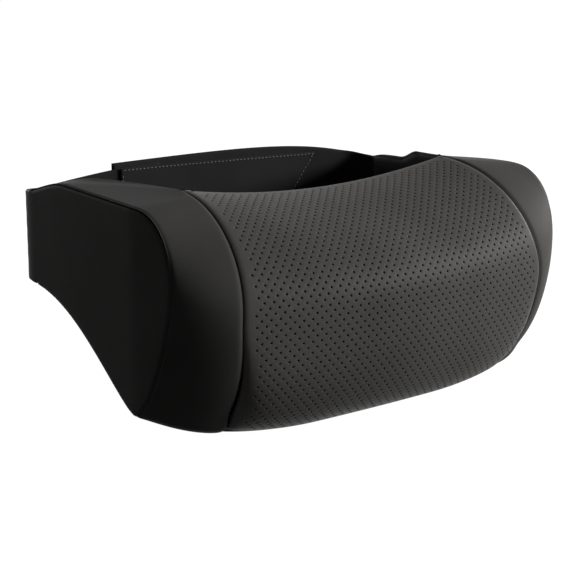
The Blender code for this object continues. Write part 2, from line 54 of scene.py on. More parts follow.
BELLY_SPREAD = 16
FILL_START = 18
FILL_END = 20
BASE_DEPTH = 0.024
BASE_FLAT_HALF = 0.045
BASE_LIFT = 0.0065
RIM_HALF = 0.0995
NOSE_HALF = 0.1143
BASE_HALF = 0.105
SEAM_FLARE_TOP = 0.55
SEAM_FLARE_BOTTOM = 1.3
WING_HALF = 0.146
WING_TOE_IN = 0.011
WING_TOE_START = 0.019
WING_NOSE_LAG = 0.022
WING_NOSE_HEIGHT = 0.101
WING_SHOULDER = 0.025
WING_SHOULDER_HEIGHT = {"left": 0.138, "right": 0.1335}
WING_FOOT = 0.017
WING_FOOT_HEIGHT = 0.0175
WING_CHEEK_POWER = 1.48
WING_SWEEP_POWER = 0.68
WING_SWEEP_LENGTH = 0.128
WING_LAG_DOWN = 0.29
ARM_LENGTH = 0.106
ARM_EDGE_CURVE = 0.45
ARM_END_SLANT = {"left": 0.0, "right": 1.25}
ROUND_START = 0.12
ROUND_END = 0.42
ROUND_BOTTOM = 0.2
BOLSTER_ROUND = 0.5
BOLSTER_PUFF = 0.003
PUFF_FORWARD = 0.5
PUFF_DOWN = 0.85
PUFF_ROW = 18
PUFF_REACH = 6
PUFF_SKEW = 0.65
SLEEVE_DEPTH = 0.134
CORNER_RADIUS = 0.012
BAND_BOW = 0.008
STRAP_FOOT_HEIGHT = 0.070
ARM_FALLS = {
    "left": [(0.0115, 0.0635, 0.1235)],
    "right": [(0.0050, -0.020, 0.070), (0.0063, 0.067, 0.0815)],
}
CORNER_HEIGHT = {"left": 0.1252, "right": 0.1245}
STRAP_END_X = {"left": -0.030, "right": -0.0645}
STRAP_END_HEIGHT = {"left": 0.1318, "right": 0.1337}
STRAP_TOP_POWER = {"left": 1.5, "right": 4.85}
TAB_START_X = -0.062
TAB_END_X = 0.0965
TAB_SLANT = 0.66
TAB_DROP = 0.0028
TAB_HEIGHT = 0.046
TAB_THICKNESS = 0.002
PATCH_START_X = -0.025
PATCH_END_X = 0.063
PATCH_MARGIN = 0.005
HOOK_THICKNESS = 0.0016
LEATHER = 0.0015
GAP = 0.0003
ZIP_TAPE_HEIGHT = 0.012
STEPS_ARM = 5
STEPS_FRONT = 17
STEPS_SOLE = 2
STEPS_UNDER = 4
CROWN_START = 0.133

DEPTH = CUSHION_DEPTH + SLEEVE_DEPTH
FRONT_Y = -DEPTH / 2
REAR_Y = DEPTH / 2
BACK_Y = FRONT_Y + CUSHION_DEPTH
ARM_TIP_Y = BACK_Y + ARM_LENGTH
SHOULDER_Y = BACK_Y - WING_SHOULDER
SKIN = LEATHER + GAP
STRAP_THICKNESS = 2 * LEATHER + GAP
FOOT = STEPS_ARM + STEPS_FRONT
CORNER = FOOT + STEPS_SOLE
LAST = CORNER + STEPS_UNDER
BASE_PANEL_STEPS = 2
BASE_SEAM = FOOT - BASE_PANEL_STEPS
NOSE_AT = STEPS_ARM + STEPS_FRONT * (1 - CROWN_START) / (2 - CROWN_START)
SIGN = {"left": -1, "right": 1}

# The look
HOLE_PITCH = 0.0059       # between holes along a row
ROW_PITCH = 0.0032        # between rows, each shifted by half a pitch
HOLE_RADIUS = 0.00066
HOLE_SIDES = 12
HOLE_MARGIN = 0.0026      # least distance of a hole's middle from the rolled edge
HOLE_RINGS = ((1.55, 0.0), (1.12, 0.00006), (0.97, 0.00028), (0.90, 0.0012))     # share of the radius, depth
STITCH_PITCH = 0.0030
STITCH_LENGTH = 0.0021
STITCH_INSET = 0.0013     # from the tab's edge
THREAD_RADIUS = 0.00032
THREAD_LIFT = 0.00022
PANEL_SOFTNESS = 0.0045   # length over which the solids' steps are smoothed, on the front
WING_SOFTNESS = 0.0035    # along the wing's outline
BAND_SOFTNESS = 0.003     # along the band's edges
PLAN_SOFTNESS = 0.0012    # and round its corners
OUTLINE_STEP = 0.0022     # between the points of a cut edge
MESH_STEP = 0.005         # between the points inside a piece
WALL_TOP = 0.16           # above all of the band
WING_POINTS = 90
STRAP_POINTS = 80
CORNER_STEPS = 12
JOIN_LENGTH = 0.012       # over which the lining's edge changes from the arm's kind to the strap's
FLANGE = 0.0022           # depth of what goes on into a seam
FLANGE_TURN = 0.0018      # how far it leans in where faces meet at a right angle
END_TURN = 0.0016         # and at the bolster's two ends
FOAM_INSET = 0.0022
TAB_FOLD = 0.0016         # radius of a folded edge of the tab
PATCH_FOLD = 0.0008       # and of a patch
FOLD_SOFTNESS = 0.0009    # round the corners of both
BORDER_STEP = 0.001
COLOUR_SPREAD = 0.16      # share by which the leather's colour varies
ROUGHNESS_SPREAD = 0.04
METAL_SPREAD = 0.08

# Rolled edges: radius, drop, pull-back, turn, flange
SEAM = (0.0036, 0.0019, 0.0004, 0.0, FLANGE)       # a sewn edge
EDGE = (0.0034, 0.0017, 0.0012, 1.0, FLANGE)       # where two faces meet at a right angle
RIM = (0.0060, 0.0026, 0.0014, 1.0, FLANGE)        # round the cushion's soft top edge
FOLD = (0.00165, 0.00165, 0.0, 0.0, 0.0)           # a strap's folded edge
FLAT = (0.0020, 0.0, 0.0, 0.0, 0.0015)             # an edge that lies under another piece
ZIP_EDGE = (0.0016, 0.0008, 0.0002, 0.0, 0.0010)
WING_SEAM_SHARE = 0.7                              # the wing's seam against the other seams


def front_curve(top, nose, foot, power, t):
    """A point of the rounded front: t goes from 0 at the top over 1 at the nose to 2 at the foot."""
    if t <= 1:
        a = math.pi / 2 * t
        return (top[0] + (nose[0] - top[0]) * math.sin(a), nose[1] + (top[1] - nose[1]) * math.cos(a))
    a = math.pi / 2 * (min(t, 2) - 1)
    back = 1 - max(0.0, math.cos(a)) ** (2 / power)
    down = math.sin(a) ** (2 / power)
    return (nose[0] + (foot[0] - nose[0]) * back, nose[1] + (foot[1] - nose[1]) * down)


def base_lift(u):
    flat = BASE_FLAT_HALF / BASE_HALF
    return BASE_LIFT * (max(0.0, abs(u) - flat) / (1 - flat)) ** 2


def ease(value, start, end):
    """0 before the start, 1 after the end, and a smooth rise between them."""
    t = np.clip((value - start) / (end - start), 0, 1)
    return t * t * (3 - 2 * t)


def centre_yz(u, v):
    rim = (BACK_Y, CUSHION_HEIGHT - RIM_DIP * (1 - u * u))
    nose = (FRONT_Y + NOSE_BOW * u * u, NOSE_HEIGHT)
    foot = (BACK_Y - BASE_DEPTH, base_lift(u))
    groove = min(1.0, abs(u)) ** BELLY_SPREAD * (1 - ease(v, FILL_START, FILL_END))
    power = BELLY_POWER + (CHEEK_POWER - BELLY_POWER) * groove
    if v <= STEPS_ARM:
        return front_curve(rim, nose, foot, power, CROWN_START * v / STEPS_ARM)
    if v <= FOOT:
        t = CROWN_START + (2 - CROWN_START) * (v - STEPS_ARM) / STEPS_FRONT
        return front_curve(rim, nose, foot, power, t)
    return (foot[0] + BASE_DEPTH * min(1.0, (v - FOOT) / STEPS_SOLE), foot[1])


def seam_half(z):
    if z >= NOSE_HEIGHT:
        t = (CUSHION_HEIGHT - z) / (CUSHION_HEIGHT - NOSE_HEIGHT)
        return RIM_HALF + (NOSE_HALF - RIM_HALF) * max(0.0, t) ** SEAM_FLARE_TOP
    t = (NOSE_HEIGHT - z) / (NOSE_HEIGHT - BASE_LIFT)
    return NOSE_HALF + (BASE_HALF - NOSE_HALF) * t ** SEAM_FLARE_BOTTOM


def wing_x(y):
    t = (y - BACK_Y + WING_TOE_START) / (SLEEVE_DEPTH + WING_TOE_START)
    return WING_HALF - WING_TOE_IN * np.maximum(0.0, t)


def arm_top(side, y):
    top = WING_SHOULDER_HEIGHT[side]
    for fall, start, end in ARM_FALLS[side]:
        top = top - fall * ease(y - BACK_Y, start, end)
    return top


def wing_bottom(y):
    t = np.clip((y - BACK_Y + WING_FOOT) / WING_SWEEP_LENGTH, 0, 1)
    rise = (1 - np.cos(math.pi * t ** WING_SWEEP_POWER)) / 2
    return WING_FOOT_HEIGHT + (STRAP_FOOT_HEIGHT - WING_FOOT_HEIGHT) * rise


def wing_yz(side, v):
    shoulder = (SHOULDER_Y, arm_top(side, SHOULDER_Y))
    nose = (FRONT_Y + NOSE_BOW + WING_NOSE_LAG, WING_NOSE_HEIGHT)
    foot = (BACK_Y - WING_FOOT, WING_FOOT_HEIGHT)
    if v <= STEPS_ARM:
        y = ARM_TIP_Y + (SHOULDER_Y - ARM_TIP_Y) * v / STEPS_ARM
        return (y, arm_top(side, y))
    if v < FOOT:
        f = (v - STEPS_ARM) / STEPS_FRONT
        t = 2 * f + WING_LAG_DOWN * math.sin(math.pi * f)
        return front_curve(shoulder, nose, foot, WING_CHEEK_POWER, t)
    heel_y = foot[0] + BASE_DEPTH
    if v <= CORNER:
        y = foot[0] + (heel_y - foot[0]) * (v - FOOT) / STEPS_SOLE
    else:
        y = heel_y + (ARM_TIP_Y - heel_y) * (v - CORNER) / STEPS_UNDER
    return (y, wing_bottom(y))


# Curves and grids

def lengths(points):
    """Distance along a line of points from its first one."""
    steps = np.linalg.norm(np.diff(points, axis=0), axis=1)
    return np.concatenate([[0.0], np.cumsum(steps)])


def smooth_line(points, width):
    """The line softened over about that length, its ends kept."""
    points = np.asarray(points, float)
    along = lengths(points)
    even = np.linspace(0, along[-1], max(8, int(along[-1] / 0.0005)))
    line = np.stack([np.interp(even, along, points[:, k]) for k in range(points.shape[1])], axis=1)
    reach = max(1, min(len(even) - 2, int(3 * width / (even[1] - even[0]))))
    kernel = np.exp(-0.5 * (np.arange(-reach, reach + 1) * (even[1] - even[0]) / width) ** 2)
    kernel /= kernel.sum()
    before = 2 * line[0] - line[reach:0:-1]
    after = 2 * line[-1] - line[-2:-reach - 2:-1]
    full = np.concatenate([before, line, after])
    soft = np.stack([np.convolve(full[:, k], kernel, "valid") for k in range(points.shape[1])], axis=1)
    return np.stack([np.interp(along, even, soft[:, k]) for k in range(points.shape[1])], axis=1)


def at(where, table, values):
    """The line of points, given at the rising values of table, read at other values."""
    return np.stack([np.interp(where, table, values[:, k]) for k in range(values.shape[1])], axis=-1)


def resample(points, step=OUTLINE_STEP):
    points = np.asarray(points, float)
    along = lengths(points)
    count = max(2, round(along[-1] / step) + 1)
    return at(np.linspace(0, along[-1], count), along, points)


V = np.linspace(0, LAST, LAST * 24 + 1)
V_CENTRE = V[V <= CORNER]
HALVES = np.array([seam_half(centre_yz(1.0, v)[1]) for v in V_CENTRE])


def centre_column(u):
    raw = np.array([(u * half, *centre_yz(u, v)) for v, half in zip(V_CENTRE, HALVES)])
    return smooth_line(raw, PANEL_SOFTNESS)


seam_line = centre_column(1.0)
seam_line = np.concatenate([seam_line, np.repeat(seam_line[-1:], len(V) - len(V_CENTRE), axis=0)])
wing_line = {}
for side_name in SIGN:
    flat = smooth_line([wing_yz(side_name, v) for v in V], WING_SOFTNESS)
    wing_line[side_name] = np.stack([wing_x(flat[:, 0]), flat[:, 0], flat[:, 1]], axis=1)


def squareness(v):
    f = (v - STEPS_ARM) / STEPS_FRONT
    return 1 - np.where(f > 0.5, ease(1 - f, 0, ROUND_BOTTOM), ease(f, ROUND_START, ROUND_END))


def puff(s, rows):
    """How far the bolster is puffed out of its plain shape at share s of its width."""
    t = np.clip((rows - PUFF_ROW) / PUFF_REACH, -1, 1)
    return BOLSTER_PUFF * math.sin(math.pi * s ** PUFF_SKEW) * np.cos(math.pi / 2 * t) ** 2


def bolster_points(side, shares, rows):
    """Points of the bolster and arm: shares go from panel seam to wing seam, rows from arm top to underside."""
    a, b = at(rows, V, seam_line), at(rows, V, wing_line[side])
    w = np.where(rows < STEPS_ARM, (1 - rows / STEPS_ARM) ** 2, 0.0)
    w = np.where(rows > CORNER, ((rows - CORNER) / STEPS_UNDER) ** 2, w)
    square = squareness(rows)
    grid = []
    for s in shares:
        turn = s * math.pi / 2
        bow = ARM_EDGE_CURVE * w * s * (1 - s)
        curved = BOLSTER_ROUND * (1 - square)
        across = curved * math.sin(turn) + (1 - curved) * (s - bow)
        along = curved * (1 - math.cos(turn)) + (1 - curved) * (s + bow)
        x = a[:, 0] + (b[:, 0] - a[:, 0]) * across
        y = a[:, 1] + (b[:, 1] - a[:, 1]) * along - PUFF_FORWARD * puff(s, rows)
        z = a[:, 2] + (b[:, 2] - a[:, 2]) * along - PUFF_DOWN * puff(s, rows)
        slant = ARM_END_SLANT[side]
        start = arm_top(side, a[:, 1] + slant * (b[:, 0] - a[:, 0]))
        rim_z = arm_top(side, y + slant * (b[:, 0] - x)) + (a[:, 2] - start) * (1 - s * s)
        base_z = wing_bottom(y) + (a[:, 2] - wing_bottom(a[:, 1])) * (1 - s)
        ends = np.where(rows <= STEPS_ARM, rim_z, base_z)
        z = z + w * (ends - z)
        grid.append(np.stack([SIGN[side] * x, y, z], axis=1))
    return np.array(grid)


def norm(v):
    return v / np.maximum(1e-12, np.linalg.norm(v, axis=-1, keepdims=True))


def bolster_normals(side, shares, rows):
    s = np.clip(shares, 0.02, 0.98)
    r = np.clip(rows, 0.05, LAST - 0.05)
    across = bolster_points(side, s + 0.004, r) - bolster_points(side, s - 0.004, r)
    down = bolster_points(side, s, r + 0.03) - bolster_points(side, s, r - 0.03)
    return norm(np.cross(down, across)) * SIGN[side]


def drop(distance, radius, depth):
    """How far a rolled edge of that radius has sunk at a distance from its seam."""
    t = np.clip(1 - distance / radius, 0, 1)
    return depth * (1 - np.sqrt(np.maximum(0.0, 1 - t * t)))


# Meshes

def mesh_piece(name, verts, faces, sharp=50):
    mesh = bpy.data.meshes.new(name)
    mesh.from_pydata([tuple(v) for v in verts], [], faces)
    mesh.validate()
    bm = bmesh.new()
    bm.from_mesh(mesh)
    bmesh.ops.remove_doubles(bm, verts=bm.verts, dist=1e-6)
    bm.to_mesh(mesh)
    bm.free()
    mesh.shade_smooth()
    if sharp:
        mesh.set_sharp_from_angle(angle=math.radians(sharp))
    piece = bpy.data.objects.new(name, mesh)
    bpy.context.scene.collection.objects.link(piece)
    return piece


def grid_faces(rows, cols, start=0, flip=False):
    faces = []
    for i in range(rows - 1):
        for j in range(cols - 1):
            a = start + i * cols + j
            quad = (a, a + 1, a + cols + 1, a + cols)
            faces.append(quad[::-1] if flip else quad)
    return faces


def near_ends(ends, body, total):
    """Rising values from 0 to the total, close together at both ends."""
    return np.array([*ends, *body, *(total - t for t in reversed(ends))])


def bolster(side):
    beside = (0, 0.006, 0.014, 0.024, 0.037, 0.055, 0.078, 0.11)
    tip = (0, 0.02, 0.045, 0.075, 0.11, 0.15, 0.2, 0.27, 0.36, 0.48, 0.64, 0.82)
    shares = near_ends(beside, np.linspace(0.15, 0.85, 19), 1)
    rows = near_ends(tip, np.arange(1, LAST - 1 + 1e-9, 0.2), LAST)
    grid = bolster_points(side, shares, rows)
    normals = bolster_normals(side, shares, rows)
    square = squareness(rows)[None, :]
    step_s = np.linalg.norm(np.diff(grid, axis=0), axis=2)
    from_seam = np.concatenate([np.zeros((1, len(rows))), np.cumsum(step_s, axis=0)])
    width = from_seam[-1:, :]
    from_wing = width - from_seam
    step_v = np.linalg.norm(np.diff(grid, axis=1), axis=2)
    from_top = np.concatenate([np.zeros((len(shares), 1)), np.cumsum(step_v, axis=1)], axis=1)
    from_under = from_top[:, -1:] - from_top
    dir_s = norm(np.gradient(grid, axis=0))
    dir_v = norm(np.gradient(grid, axis=1))
    fit = np.minimum(1.0, 0.4 * width / SEAM[0])
    wing_edge = [seam + (edge - seam) * square for seam, edge in zip(SEAM, EDGE)]
    sunk = np.zeros_like(from_seam)
    shift = np.zeros_like(grid)
    for field, direction, profile in (
        (from_seam, dir_s, SEAM),
        (from_wing, -dir_s, wing_edge),
        (from_top, dir_v, RIM),
        (from_under, -dir_v, EDGE),
    ):
        radius, depth, pull = (profile[k] * fit for k in range(3))
        radius = np.maximum(radius, 1e-5)
        sunk = np.maximum(sunk, drop(np.maximum(field, pull), radius, depth))
        shift += direction * (pull * np.clip(1 - field / radius, 0, 1))[..., None]
    skin = grid + shift - normals * sunk[..., None]
    # A narrow flange goes on into the seam on each of the four edges
    first = skin[0] - normals[0] * FLANGE * fit[0][:, None]
    lean = (FLANGE_TURN * square[0] * fit[0])[:, None]
    last = skin[-1] - normals[-1] * FLANGE * fit[0][:, None] - dir_s[-1] * lean
    skin = np.concatenate([first[None], skin, last[None]])
    n_full = np.concatenate([normals[:1], normals, normals[-1:]])
    d_full = np.concatenate([dir_v[:1], dir_v, dir_v[-1:]])
    top = skin[:, 0] - n_full[:, 0] * FLANGE * fit[0, 0] + d_full[:, 0] * END_TURN * fit[0, 0]
    under = skin[:, -1] - n_full[:, -1] * FLANGE * fit[0, -1] - d_full[:, -1] * END_TURN * fit[0, -1]
    skin = np.concatenate([top[:, None], skin, under[:, None]], axis=1)
    count_s, count_v = skin.shape[:2]
    faces = grid_faces(count_s, count_v, flip=side == "left")
    return mesh_piece(f"{side}_bolster", skin.reshape(-1, 3), faces)


# Flat patterns: a sheet is laid out in two dimensions, then placed on its surface

def corner_normals(outline):
    """Inward moves at each point of a counter-clockwise outline that offset both its edges by one unit."""
    ahead = norm(np.roll(outline, -1, axis=0) - outline)
    behind = np.roll(ahead, 1, axis=0)
    left_ahead = np.stack([-ahead[:, 1], ahead[:, 0]], axis=1)
    left_behind = np.stack([-behind[:, 1], behind[:, 0]], axis=1)
    dot = np.sum(left_ahead * left_behind, axis=1)
    return (left_ahead + left_behind) / np.maximum(0.5, 1 + dot)[:, None]


def inside(points, polygon):
    x, y = points[:, 0][:, None], points[:, 1][:, None]
    x0, y0 = polygon[:, 0][None], polygon[:, 1][None]
    x1, y1 = np.roll(polygon[:, 0], -1)[None], np.roll(polygon[:, 1], -1)[None]
    crosses = (y0 > y) != (y1 > y)
    slope = np.where(y1 == y0, 1e-12, y1 - y0)
    hit = crosses & (x < (x1 - x0) * (y - y0) / slope + x0)
    return hit.sum(axis=1) % 2 == 1


def distance_to(points, polygon):
    gap = points[:, None, :] - polygon[None]
    return np.sqrt((gap ** 2).sum(axis=2)).min(axis=1)


def pattern(parts):
    """Joins (line of points, edge profile) parts into one counter-clockwise outline with edge profiles."""
    outline, edges = [], []
    for points, profile in parts:
        profile = np.asarray(profile, float)
        if profile.ndim == 1:
            profile = np.repeat(profile[None], len(points), axis=0)
        outline.append(points[:-1])
        edges.append(profile[:-1])
    outline, edges = np.concatenate(outline), np.concatenate(edges)
    x, y = outline[:, 0], outline[:, 1]
    if np.sum(x * np.roll(y, -1) - np.roll(x, -1) * y) < 0:
        outline, edges = outline[::-1], edges[::-1]
    return outline, edges


def lattice(ring):
    """Centres of the perforations whose diamond-shaped cell lies inside the ring."""
    low, high = ring.min(axis=0), ring.max(axis=0)
    sites = []
    for r in range(int(low[1] / ROW_PITCH) - 1, int(high[1] / ROW_PITCH) + 2):
        for i in range(int(low[0] / HOLE_PITCH) - 2, int(high[0] / HOLE_PITCH) + 2):
            sites.append((2 * i + r % 2, r))
    sites = np.array(sites)
    centres = sites * [HOLE_PITCH / 2, ROW_PITCH]
    good = np.ones(len(sites), bool)
    for dx, dy in ((1, 0), (-1, 0), (0, 1), (0, -1)):
        corners = centres + [dx * HOLE_PITCH / 2, dy * ROW_PITCH]
        good &= inside(corners, ring)
    return sites[good & (distance_to(centres, ring) > HOLE_MARGIN)]


def diamond(site):
    """The twelve points round one cell, counted in sixths of its half width and height."""
    corners = [(3, 0), (0, 3), (-3, 0), (0, -3)]
    points = []
    for (ax, ay), (bx, by) in zip(corners, corners[1:] + corners[:1]):
        for k in range(3):
            dx, dy = ax + (bx - ax) * k // 3, ay + (by - ay) * k // 3
            points.append((3 * site[0] + dx, 3 * site[1] + dy))
    return points


def sheet(name, parts, place, holes=False, flip=False, sharp=50):
    """A leather piece cut to an outline, with rolled edges, set on its surface by place(points, depth)."""
    outline, edges = pattern(parts)
    inward = corner_normals(outline)
    radius, depth, pull, turn, flange = (edges[:, k] for k in range(5))
    flat, sunk, faces = [], [], []
    count = len(outline)
    if flange.max() > 0:
        flat.append(outline + inward * (pull + FLANGE_TURN * turn)[:, None])
        sunk.append(drop(pull, radius, depth) + flange)
    for share in (0, 0.1, 0.25, 0.45, 0.7, 1.0):
        d = pull + (radius - pull) * share
        flat.append(outline + inward * d[:, None])
        sunk.append(drop(d, radius, depth))
    for ring in range(len(flat) - 1):
        near, far = ring * count, (ring + 1) * count
        for k in range(count):
            m = (k + 1) % count
            faces.append((near + k, near + m, far + m, far + k))
    last = flat[-1]
    base = (len(flat) - 1) * count
    total = len(flat) * count
    points, owners = list(last), list(range(base, base + count))
    links = [(k, (k + 1) % count) for k in range(count)]
    extra, extra_sunk = [], []
    cells = {}
    if holes:
        scale = np.array([HOLE_PITCH / 6, ROW_PITCH / 3])
        sites = [tuple(s) for s in lattice(last)]
        keep = set(sites)
        corner_index, edge_use = {}, {}
        for site in sites:
            ring_points = diamond(site)
            for p in ring_points:
                if p not in corner_index:
                    corner_index[p] = total + len(extra)
                    extra.append(np.array(p) * scale)
                    extra_sunk.append(0.0)
            cells[site] = [corner_index[p] for p in ring_points]
            for p, q in zip(ring_points, ring_points[1:] + ring_points[:1]):
                key = (min(p, q), max(p, q))
                edge_use[key] = edge_use.get(key, 0) + 1
        border = {}
        for (p, q), used in edge_use.items():
            if used == 1:
                for end in (p, q):
                    if end not in border:
                        border[end] = len(points)
                        points.append(np.array(end) * scale)
                        owners.append(corner_index[end])
                links.append((border[p], border[q]))
        for site in sites:
            centre = np.array(site) * [HOLE_PITCH / 2, ROW_PITCH]
            previous = cells[site]
            for size, deep in HOLE_RINGS:
                ring_now = []
                for k in range(HOLE_SIDES):
                    a = 2 * math.pi * k / HOLE_SIDES
                    ring_now.append(total + len(extra))
                    extra.append(centre + HOLE_RADIUS * size * np.array([math.cos(a), math.sin(a)]))
                    extra_sunk.append(deep)
                for k in range(HOLE_SIDES):
                    m = (k + 1) % HOLE_SIDES
                    faces.append((previous[k], previous[m], ring_now[m], ring_now[k]))
                previous = ring_now
            faces.append(tuple(previous))
    else:
        low, high = last.min(axis=0), last.max(axis=0)
        xs = np.arange(low[0], high[0], MESH_STEP)
        ys = np.arange(low[1], high[1], MESH_STEP)
        spots = np.array([(x + (n % 2) * MESH_STEP / 2, y) for n, y in enumerate(ys) for x in xs])
        spots = spots[inside(spots, last)]
        for p in spots[distance_to(spots, last) > 0.55 * MESH_STEP]:
            owners.append(total + len(extra))
            points.append(p)
            extra.append(p)
            extra_sunk.append(0.0)
    made = delaunay_2d_cdt([Vector(p) for p in points], links, [], 0, 1e-9)
    found = [owners[source[0]] if source else None for source in made[3]]
    corners = np.array([tuple(p) for p in made[0]])
    triangles = [t for t in made[2] if all(found[k] is not None for k in t)]
    middles = np.array([corners[list(t)].mean(axis=0) for t in triangles])
    good = inside(middles, last)
    if holes:
        row = np.floor(middles[:, 1] / ROW_PITCH).astype(int)
        for r in (row, row + 1):
            half = middles[:, 0] / (HOLE_PITCH / 2)
            column = 2 * np.round((half - r % 2) / 2).astype(int) + r % 2
            off = abs(half - column) + abs(middles[:, 1] / ROW_PITCH - r)
            member = np.array([(c, q) in keep for c, q in zip(column, r)])
            good &= ~(member & (off < 1))
    for t, ok in zip(triangles, good):
        if ok:
            faces.append(tuple(found[k] for k in t))
    all_flat = np.concatenate([np.concatenate(flat)] + ([np.array(extra)] if extra else []))
    all_sunk = np.concatenate([np.concatenate(sunk), np.array(extra_sunk)])
    verts = place(all_flat, all_sunk)
    if flip:
        faces = [f[::-1] for f in faces]
    return mesh_piece(name, verts, faces, sharp)


class Front:
    """The centre of the cushion: x across, q up its surface from the nose line."""

    def __init__(self):
        # The table reaches past the leather on all sides
        self.q = np.arange(-0.16, 0.1601, 0.001)
        self.u = np.linspace(-1.1, 1.1, 67)
        self.points = np.array([self.line(u)[1] for u in self.u])
        d_u = np.gradient(self.points, axis=0)
        d_q = np.gradient(self.points, axis=1)
        self.normals = norm(np.cross(d_u, d_q))

    def line(self, u):
        column = centre_column(u)
        along = lengths(column)
        q = np.interp(NOSE_AT, V_CENTRE, along) - along
        rising, points = q[::-1], column[::-1]
        first, last = norm(points[1] - points[0]), norm(points[-1] - points[-2])
        values = at(self.q, rising, points)
        low, high = self.q < rising[0], self.q > rising[-1]
        values[low] = points[0] + first * (self.q[low] - rising[0])[:, None]
        values[high] = points[-1] + last * (self.q[high] - rising[-1])[:, None]
        return q, values

    def edge(self, u, v):
        """The flat point of a column and row of the solid's surface."""
        column = centre_column(u)
        along = lengths(column)
        q = np.interp(NOSE_AT, V_CENTRE, along) - np.interp(v, V_CENTRE, along)
        return (np.interp(v, V_CENTRE, column[:, 0]), q)

    def read(self, table, u, q):
        fu = np.clip((u - self.u[0]) / (self.u[1] - self.u[0]), 0, len(self.u) - 1.001)
        fq = np.clip((q - self.q[0]) / (self.q[1] - self.q[0]), 0, len(self.q) - 1.001)
        i, j = fu.astype(int), fq.astype(int)
        a, b = (fu - i)[:, None], (fq - j)[:, None]
        near = table[i, j] * (1 - b) + table[i, j + 1] * b
        far = table[i + 1, j] * (1 - b) + table[i + 1, j + 1] * b
        return near * (1 - a) + far * a

    def place(self, flat, depth):
        x, q = flat[:, 0], flat[:, 1]
        u = x / NOSE_HALF
        for _ in range(8):
            u = u + (x - self.read(self.points, u, q)[:, 0]) / NOSE_HALF
        return self.read(self.points, u, q) - self.read(self.normals, u, q) * depth[:, None]


class Wall:
    """A surface ruled between a top and a bottom line; flat points are (distance along, height)."""

    def __init__(self, top, bottom, outward):
        self.along = lengths(top[:, :2])
        self.top, self.bottom = top, bottom
        tangent = norm(np.gradient(top[:, :2] + bottom[:, :2], axis=0))
        self.normal = np.stack([tangent[:, 1], -tangent[:, 0], 0 * tangent[:, 0]], axis=1) * outward

    def place(self, flat, depth):
        w, z = flat[:, 0], flat[:, 1]
        top, bottom = at(w, self.along, self.top), at(w, self.along, self.bottom)
        share = ((top[:, 2] - z) / (top[:, 2] - bottom[:, 2]))[:, None]
        point = top + (bottom - top) * share
        point[:, 2] = z
        return point - norm(at(w, self.along, self.normal)) * depth[:, None]


def upright(plan, outward):
    """The wall that stands on a line of the plan."""
    top = np.column_stack([plan, np.full(len(plan), WALL_TOP)])
    return Wall(top, np.column_stack([plan, np.zeros(len(plan))]), outward)


def band_y(x):
    return REAR_Y - BAND_BOW * (x / WING_HALF) ** 2


BAND_XS = np.linspace(-0.12, 0.12, 161)


def band_wall(level, outward):
    """The wall at a depth inside the band's outside."""
    return upright(np.stack([BAND_XS, band_y(BAND_XS) - level], axis=1), outward)


def strap_top(side, x):
    end = STRAP_END_X[side]
    corner = SIGN[side] * (wing_x(REAR_Y - CORNER_RADIUS) - CORNER_RADIUS)
    t = np.maximum(0.0, (x - end) / (corner - end))
    rise = CORNER_HEIGHT[side] - STRAP_END_HEIGHT[side]
    return STRAP_END_HEIGHT[side] + rise * t ** STRAP_TOP_POWER[side]


def rear_plan(side, inner=0.0):
    """The wing's outside in plan from its front to the strap's end, moved inwards by inner, and its heights."""
    sign = SIGN[side]
    layer = 0.0 if side == "right" else STRAP_THICKNESS + GAP
    corner_x = wing_x(REAR_Y - CORNER_RADIUS) - CORNER_RADIUS
    centre_y = band_y(corner_x) - layer - CORNER_RADIUS
    plan = [(wing_x(y), y) for y in np.linspace(FRONT_Y, centre_y - 0.002, WING_POINTS)]
    for k in range(CORNER_STEPS + 1):
        a = math.pi / 2 * k / CORNER_STEPS
        plan.append((corner_x + CORNER_RADIUS * math.cos(a), centre_y + CORNER_RADIUS * math.sin(a)))
    for x in np.linspace(corner_x, sign * STRAP_END_X[side], STRAP_POINTS)[1:]:
        plan.append((x, band_y(x) - layer))
    plan = smooth_line(plan, PLAN_SOFTNESS)
    tangent = norm(np.gradient(plan, axis=0))
    plan = plan + np.stack([-tangent[:, 1], tangent[:, 0]], axis=1) * inner
    tops = []
    wing_top = arm_top(side, centre_y)
    for x, y in plan:
        if y < centre_y and x > corner_x - inner:
            tops.append((arm_top(side, y), wing_bottom(y)))
        elif x > corner_x:
            turned = math.atan2(y - centre_y, x - corner_x) / (math.pi / 2)
            top = wing_top + (CORNER_HEIGHT[side] - wing_top) * min(1.0, turned)
            tops.append((top, STRAP_FOOT_HEIGHT))
        else:
            tops.append((strap_top(side, sign * x), STRAP_FOOT_HEIGHT))
    heights = smooth_line(np.column_stack([plan, tops]), BAND_SOFTNESS)[:, 2:]
    return plan * [sign, 1], heights


def wing(side):
    plan, heights = rear_plan(side)
    along = lengths(plan)
    wing_y, wing_along = plan[:WING_POINTS, 1], along[:WING_POINTS]
    rows = np.linspace(0, LAST, 900)
    curve = at(rows, V, wing_line[side])
    seam = np.column_stack([np.interp(curve[:, 1], wing_y, wing_along), curve[:, 2]])
    on_seam = lengths(seam)
    even = np.linspace(0, on_seam[-1], round(on_seam[-1] / OUTLINE_STEP))
    square = squareness(np.interp(even, on_seam, rows))
    slim = np.array(SEAM) * WING_SEAM_SHARE
    profile = slim + (np.array(EDGE) - slim) * square[:, None]
    profile[:, 4] = FLANGE
    later = along > np.interp(ARM_TIP_Y, wing_y, wing_along) + 1e-9
    top = np.concatenate([seam[:1], np.column_stack([along[later], heights[later, 0]])])
    bottom = np.concatenate([seam[-1:], np.column_stack([along[later], heights[later, 1]])])
    parts = [
        (resample(top[::-1]), FOLD),
        (at(even, on_seam, seam), profile),
        (resample(bottom), FOLD),
        (resample([bottom[-1], top[-1]]), FOLD),
    ]
    return sheet(f"{side}_wing", parts, upright(plan, SIGN[side]).place, flip=side == "left")


